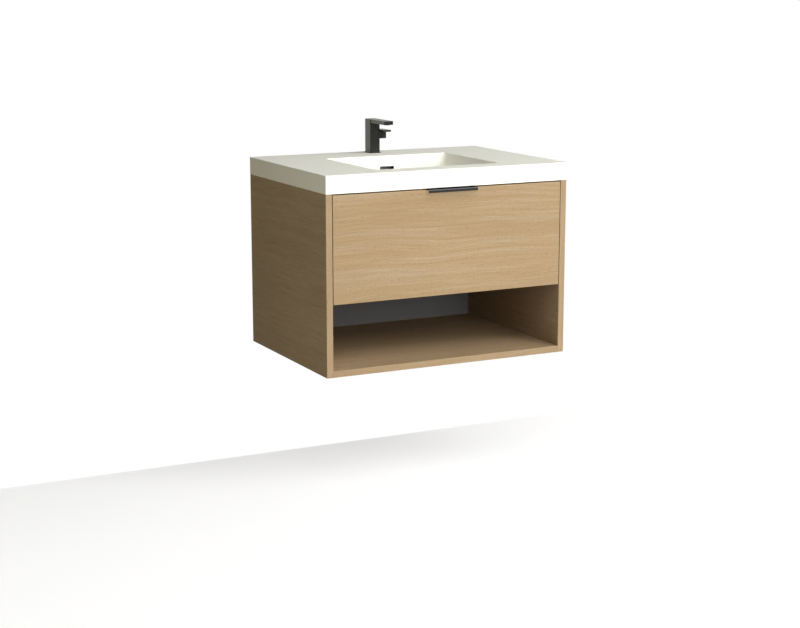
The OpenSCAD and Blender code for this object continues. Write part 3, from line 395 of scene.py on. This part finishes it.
# ---------- back board, its grey a painted shade ---
# A 4 mm hardboard slid in behind the open bay; its dark grey is painted shade, for the deep shade at
# the back of the bay. The board's rough side gives the paint a faint mottle about 4 mm across.
# its dark grey is painted shade
grey_painted_shade, tree, shader = finish("hardboard_grey_painted_shade", "#7B7B7C", 0.75)
place = add(tree, "TexCoord").outputs["Object"]
mottle = add(tree, "TexNoise", {"Vector": place, "Scale": 260.0, "Detail": 3.0})
light, dark = linear("#787879"), linear("#7F7F80")
shade = add(tree, "Mix", {0: mottle.outputs[0], 6: light, 7: dark}, data_type="RGBA")
tree.links.new(shade.outputs[2], shader.inputs["Base Color"])
relief = add(tree, "Bump", {"Height": mottle.outputs[0], "Distance": 0.0001})
tree.links.new(relief.outputs[0], shader.inputs["Normal"])
dress(grey_painted_shade, "back_panel")


# ---------- cast top with its basin ----------
# One casting of filled resin with a white gel coat, 51 mm high at its apron, hollow underneath.
# It is flatted dead matt, as on the photographed one; the arrises are rubbed down to about 1.5 mm.
half_top, front_top = 0.381, -0.5465
deck, deck_under, under = 0.5575, 0.5415, 0.5065
apron, shell = 0.020, 0.012                     # wall thickness of the apron and of the basin
corner_r, inner_corner_r = 0.003, 0.002         # the apron's corners, outside and inside
soft, rim_r = 0.0015, 0.002                     # the arrises of the apron and of the basin's rim
bowl_half, bowl_rear, bowl_front = 0.198, -0.1445, -0.4735
side_slope, rear_slope, front_slope = 0.046, 0.006, 0.030   # how far the walls lean in on their way down
rear_corner_r, front_corner_r = 0.007, 0.020    # the basin's corners at its rim
rear_corner_more, front_corner_more = 0.045, 0.052          # and what they widen by on the way down
drain_y, bowl_floor = -0.309, 0.4475            # the waste's place, and the floor's height there
floor_edge, shell_edge = 0.4615, 0.4495         # height of the floor's edge, inside and underneath
flat_r, seat_r, seat_z = 0.035, 0.0321, 0.4445  # the flat round the waste, and its sunk seat
waste_hole_r, boss_r, boss_under = 0.023, 0.047, 0.4355
tap_hole_y, tap_hole_r, tap_hole_sides = -0.0475, 0.0175, 48


def ring(half, rear, front, rear_r, front_r, height, steps=12):
    """Points round a rectangle with rounded corners, anticlockwise from its right side."""
    points = []
    for quarter, (side, y, r) in enumerate(((1, rear - rear_r, rear_r), (-1, rear - rear_r, rear_r),
                                            (-1, front + front_r, front_r), (1, front + front_r, front_r))):
        for step in range(steps + 1):
            turn = math.radians(90 * (quarter + step / steps))
            points.append(Vector((side * (half - r) + r * math.cos(turn), y + r * math.sin(turn), height)))
    return points


def between(first, second, share):
    """The ring that lies a share of the way from one ring to another."""
    return [a.lerp(b, share) for a, b in zip(first, second)]


def outer(inset, height):
    """The apron's outline, drawn in by `inset`; its corners are rubbed round."""
    return ring(half_top - inset, -inset, front_top + inset, corner_r - inset, corner_r - inset, height)


def bowl(depth, grow=0.0):
    """The basin's wall, from its rim at 0 to its floor's edge at 1. `grow` gives the shell's outside."""
    return ring(bowl_half + grow - side_slope * depth,
                bowl_rear + grow - rear_slope * depth,
                bowl_front - grow + front_slope * depth,
                rear_corner_r + grow + rear_corner_more * depth,
                front_corner_r + grow + front_corner_more * depth,
                deck - grow * depth + (floor_edge - deck) * depth)


def disc(r, height):
    """A circle round the drain."""
    return ring(r, drain_y + r, drain_y - r, r, r, height)


def rim_ring(turn):
    """The rim's arris, rolled over."""
    out = rim_r * (1 - math.sin(turn))
    down = rim_r * (1 - math.cos(turn))
    share = down / (deck - floor_edge)
    return ring(bowl_half + out - side_slope * share, bowl_rear + out, bowl_front - out,
                rear_corner_r + out, front_corner_r + out, deck - down)


# the walls run down to a cove, which lands on a floor that falls to the drain
flat = disc(flat_r, bowl_floor)
walls = [bowl(d) for d in (0.1, 0.25, 0.4, 0.52, 0.62)]
start, edge = bowl(0.70), bowl(1)
landing = between(edge, flat, 0.30)
cove = [[s.lerp(k, t).lerp(k.lerp(e, t), t) for s, k, e in zip(start, edge, landing)]
        for t in [i / 10 for i in range(11)]]
floor_rings = [between(edge, flat, share) for share in (0.5, 0.75)]
roll = [math.radians(90 * k / 4) for k in range(5)]

# one skin of rings: up the waste's hole and the basin, over the deck, down the apron and back inside
rings = [disc(waste_hole_r, boss_under), disc(waste_hole_r, seat_z), disc(seat_r, seat_z),
         disc(seat_r, bowl_floor), flat]
rings += floor_rings[::-1] + cove[::-1] + walls[::-1]
rings += [rim_ring(t) for t in roll[::-1]]
rim_at = len(rings) - 1
rings += [outer(soft * (1 - math.sin(t)), deck - soft * (1 - math.cos(t))) for t in roll]
rings += [outer(soft * (1 - math.cos(t)), under + soft * (1 - math.sin(t))) for t in roll]
rings += [ring(half_top - apron, -apron, front_top + apron, inner_corner_r, inner_corner_r, z)
          for z in (under, deck_under)]
under_at = len(rings) - 1
under_share = (deck - rim_r - deck_under) / (deck - rim_r - shell_edge)
rings += [bowl(under_share, shell), bowl(1, shell), disc(boss_r, boss_under)]

shape = bmesh.new()
loops = [[shape.verts.new(p) for p in r] for r in rings]
count = len(loops[0])
for k in range(len(loops)):
    if k in (rim_at, under_at):
        continue
    a, b = loops[k], loops[(k + 1) % len(loops)]
    for i in range(count):
        j = (i + 1) % count
        shape.faces.new((a[i], a[j], b[j], b[i]))

# the tap's hole goes through the deck, whose two faces are filled in round it
turns = [math.tau * i / tap_hole_sides for i in range(tap_hole_sides)]
hole = [[shape.verts.new((tap_hole_r * math.cos(t), tap_hole_y + tap_hole_r * math.sin(t), z))
         for t in turns] for z in (deck, deck_under)]
for i in range(tap_hole_sides):
    j = (i + 1) % tap_hole_sides
    shape.faces.new((hole[0][i], hole[0][j], hole[1][j], hole[1][i]))
for upper, tap_loop in ((rim_at, hole[0]), (under_at, hole[1])):
    border = []
    for loop in (loops[upper], loops[upper + 1], tap_loop):
        border += [shape.edges.get((loop[i], loop[(i + 1) % len(loop)])) for i in range(len(loop))]
    bmesh.ops.triangle_fill(shape, edges=border, use_beauty=True)
bmesh.ops.recalc_face_normals(shape, faces=shape.faces)
top_mesh = bpy.data.meshes.new("cast_top")
shape.to_mesh(top_mesh)
shape.free()
cast_top = bpy.data.objects.new("cast_top", top_mesh)
bpy.context.scene.collection.objects.link(cast_top)

# the overflow slot is milled through the basin's rear wall
slot_half, slot_front, slot_rear, slot_low, slot_high = 0.023, -0.1585, -0.1323, 0.5155, 0.5255
slot_mesh = bpy.data.meshes.new("slot_cutter")
slot_mesh.from_pydata([(side * slot_half, y, z) for y in (slot_front, slot_rear)
                       for side, z in ((-1, slot_low), (1, slot_low), (1, slot_high), (-1, slot_high))], [],
                      [(0, 1, 2, 3), (7, 6, 5, 4), (0, 4, 5, 1), (1, 5, 6, 2), (2, 6, 7, 3), (3, 7, 4, 0)])
cutter = bpy.data.objects.new("slot_cutter", slot_mesh)
bpy.context.scene.collection.objects.link(cutter)
milled = cast_top.modifiers.new("slot", "BOOLEAN")
milled.object = cutter
milled.operation = "DIFFERENCE"
bpy.context.view_layer.update()
cut_mesh = bpy.data.meshes.new_from_object(cast_top.evaluated_get(bpy.context.evaluated_depsgraph_get()))
cast_top.modifiers.clear()
cast_top.data = cut_mesh
bpy.data.objects.remove(cutter)
for face in cut_mesh.polygons:
    face.use_smooth = True
cut_mesh.set_sharp_from_angle(angle=math.radians(32))
cast_top.modifiers.new("flat_faces_stay_flat", "WEIGHTED_NORMAL").keep_sharp = True

# clouds in the coat some 70 mm across, and the scratches of the flatting paper, about 1 mm apart
gel_coat, tree, shader = finish("gel_coated_cast_resin", "#EDECE1", 0.75, 1.5, level=0.0)
place = add(tree, "TexCoord").outputs["Object"]
cloud = add(tree, "TexNoise", {"Vector": place, "Scale": 14.0, "Detail": 2.0})
grit = add(tree, "TexNoise", {"Vector": place, "Scale": 900.0, "Detail": 2.0})
milk = add(tree, "Mix", {0: cloud.outputs[0], 6: linear("#EFEEE4"), 7: linear("#EBEADE")}, data_type="RGBA")
tree.links.new(milk.outputs[2], shader.inputs["Base Color"])
flatting_grit_and_painted_highlight = add(tree, "MapRange", {0: grit.outputs[0], 1: 0.3, 2: 0.7, 3: 0.70, 4: 0.80})
tree.links.new(flatting_grit_and_painted_highlight.outputs[0], shader.inputs["Roughness"])
relief = add(tree, "Bump", {"Height": grit.outputs[0], "Distance": 0.00004})
tree.links.new(relief.outputs[0], shader.inputs["Normal"])
cut_mesh.materials.clear()
cut_mesh.materials.append(gel_coat)
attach(cast_top, "cabinet")
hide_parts("basin_top")


# ---------- mixer tap, waste and overflow in black ----------
# Brass tap and waste with a baked satin black powder coat, which rounds every arris a little, and a
# matt steel sleeve in the overflow's slot. The cartridge's nut is black too, because it shows beside
# the lever at full tilt.


def powder_coat(name, light, dark, smooth, rough, level):
    """Baked black powder: orange peel with cells about 0.8 mm, and a sheen that drifts over some 15 mm."""
    made, tree, shader = finish(name, light, smooth, 1.6, level=level)
    place = add(tree, "TexCoord").outputs["Object"]
    peel = add(tree, "TexNoise", {"Vector": place, "Scale": 1200.0, "Detail": 1.0})
    dust = add(tree, "TexNoise", {"Vector": place, "Scale": 60.0, "Detail": 3.0})
    coat = add(tree, "Mix", {0: dust.outputs[0], 6: linear(light), 7: linear(dark)}, data_type="RGBA")
    tree.links.new(coat.outputs[2], shader.inputs["Base Color"])
    patch = add(tree, "MapRange", {0: dust.outputs[0], 1: 0.3, 2: 0.7, 3: smooth, 4: rough})
    tree.links.new(patch.outputs[0], shader.inputs["Roughness"])
    relief = add(tree, "Bump", {"Height": peel.outputs[0], "Distance": 0.00003})
    tree.links.new(relief.outputs[0], shader.inputs["Normal"])
    return made


def coated(node, coat, arris, folds=()):
    """A metal piece whose arrises are rounded by its powder coat."""
    piece = eased(node, arris, segments=3, folds=folds)
    piece.data.materials.clear()
    piece.data.materials.append(coat)
    return piece


satin_black = powder_coat("metal_powder_coated_satin_black", "#1D1D1B", "#21211F", 0.30, 0.38, 0.5)
matt_black = powder_coat("steel_powder_coated_matt_black", "#292929", "#2D2D2D", 0.55, 0.65, 0.0)
coated("tap_body", satin_black, 0.0010)
coated("tap_lever", satin_black, 0.0008)
coated("tap_base_plate", satin_black, 0.0004)
dress(satin_black, "waste_body", "waste_plug", "tap_aerator", "cartridge_nut")
dress(matt_black, "overflow_sleeve")


# ---------- edge pull ----------
# Folded from 1.5 mm steel sheet, with a bend of 2.5 mm outside, and powder coated matt black. Its lip
# is painted a little grey as painted light, and its bend lighter still as a painted highlight.
sheet_t, bend_r, inner_bend_r = 0.0015, 0.0025, 0.0010
lip_painted_light, bend_painted_highlight = linear("#313131"), linear("#606060")
low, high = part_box("edge_pull")
# a matt black coat with painted light on the lip and a painted highlight on the bend
black_with_painted_highlight = powder_coat("steel_powder_coated_matt_black_painted_highlight", "#151515", "#181818", 0.55, 0.65, 0.0)
tree = black_with_painted_highlight.node_tree
shader = tree.nodes["Principled BSDF"]
coat = shader.inputs["Base Color"].links[0].from_socket
place = add(tree, "SeparateXYZ", {0: add(tree, "TexCoord").outputs["Object"]})
inward = add(tree, "Math", {0: place.outputs[1], 1: low.y}, operation="SUBTRACT")
down = add(tree, "Math", {0: high.z, 1: place.outputs[2]}, operation="SUBTRACT")
past_bend = add(tree, "Math", {0: inward.outputs[0], 1: down.outputs[0]})
# painted light on the lip fades 2.2 mm behind its face, the painted highlight 3 mm round the bend
painted_light_on_lip = add(tree, "MapRange", {0: inward.outputs[0], 1: 0.0004, 2: 0.0022, 3: 1.0, 4: 0.0})
flatting_grit_and_painted_highlight = add(tree, "MapRange", {0: past_bend.outputs[0], 1: 0.0015, 2: 0.0030, 3: 1.0, 4: 0.0})
lip = add(tree, "Mix", {0: painted_light_on_lip.outputs[0], 6: coat, 7: lip_painted_light}, data_type="RGBA")
bend = add(tree, "Mix", {0: flatting_grit_and_painted_highlight.outputs[0], 6: lip.outputs[2], 7: bend_painted_highlight}, data_type="RGBA")
tree.links.new(bend.outputs[2], shader.inputs["Base Color"])
pull_folds = ((low.y, high.z, bend_r), (low.y + sheet_t, high.z - sheet_t, inner_bend_r))
pull = coated("edge_pull", black_with_painted_highlight, 0.0004, folds=pull_folds)
# it throws no shadow on the drawer front in the photograph
pull.visible_shadow = False


# ---------- metal fittings ----------
# Slides, cleats, cams, screws and washers of zinc plated steel, the nuts of the tap and the waste
# turned from brass, and a tailpiece of chromed brass pipe. All are bought parts, screwed in place.


def metal(name, light, dark, smooth, rough, scale):
    """Bare metal whose sheen changes over patches `scale` to the metre."""
    made, tree, shader = finish(name, light, rough, metallic=1.0)
    place = add(tree, "TexCoord").outputs["Object"]
    patches = add(tree, "TexNoise", {"Vector": place, "Scale": scale, "Detail": 3.0})
    fine = add(tree, "TexNoise", {"Vector": place, "Scale": scale * 9, "Detail": 1.0})
    tint = add(tree, "Mix", {0: patches.outputs[0], 6: linear(light), 7: linear(dark)}, data_type="RGBA")
    tree.links.new(tint.outputs[2], shader.inputs["Base Color"])
    sheen = add(tree, "MapRange", {0: patches.outputs[0], 1: 0.3, 2: 0.7, 3: smooth, 4: rough})
    tree.links.new(sheen.outputs[0], shader.inputs["Roughness"])
    relief = add(tree, "Bump", {"Height": fine.outputs[0], "Distance": 0.00003})
    tree.links.new(relief.outputs[0], shader.inputs["Normal"])
    return made


# plating spangle about 4 mm across, with a faint blue passivation
plated = [name for name in solids if name.startswith("slide_")]
dress(metal("steel_zinc_plated", "#C3C6C9", "#A9B0B6", 0.28, 0.42, 250.0), *plated,
      "cam_bolts", "cam_locks", "cabinet_cleat", "wall_cleat", "carcass_screws", "waste_washer",
      "tap_stud", "tap_steel_washer", "lever_stem", "lever_screw", "drawer_screws")
# lathe marks and handling tarnish about 3 mm across
dress(metal("brass_turned", "#C9A45C", "#AD8743", 0.24, 0.36, 320.0), "waste_nut", "tap_nut")
# polished plate over brass, with a faint ripple some 8 mm across
dress(metal("brass_chromed", "#DADCDD", "#CDD1D3", 0.06, 0.14, 120.0), "tailpiece")


# ---------- plastic and rubber ----------
# Bumpers, overflow duct and tap cartridge moulded in white ABS, and the slides' ball cages in grey
# acetal. The gaskets and a washer are cut from black rubber sheet and pressed in place.


def moulded(name, light, dark, rough, ior):
    """A moulded skin with a fine spark-eroded texture, about 0.4 mm between its bumps."""
    made, tree, shader = finish(name, light, rough, ior)
    place = add(tree, "TexCoord").outputs["Object"]
    spark = add(tree, "TexNoise", {"Vector": place, "Scale": 2500.0, "Detail": 1.0})
    flow = add(tree, "TexNoise", {"Vector": place, "Scale": 40.0, "Detail": 2.0})
    tint = add(tree, "Mix", {0: flow.outputs[0], 6: linear(light), 7: linear(dark)}, data_type="RGBA")
    tree.links.new(tint.outputs[2], shader.inputs["Base Color"])
    relief = add(tree, "Bump", {"Height": spark.outputs[0], "Distance": 0.00005})
    tree.links.new(relief.outputs[0], shader.inputs["Normal"])
    return made


dress(moulded("abs_moulded_white", "#E4E4DF", "#DBDBD5", 0.42, 1.54),
      "bumpers", "overflow_duct", "tap_cartridge", "mixer_spindle")
dress(moulded("acetal_moulded_grey", "#8F9396", "#868A8D", 0.38, 1.48),
      "outer_ball_cages", "inner_ball_cages")
dress(moulded("rubber_sheet_black", "#212121", "#1A1A1A", 0.8, 1.52),
      "waste_gasket", "tap_gasket", "tap_rubber_washer")
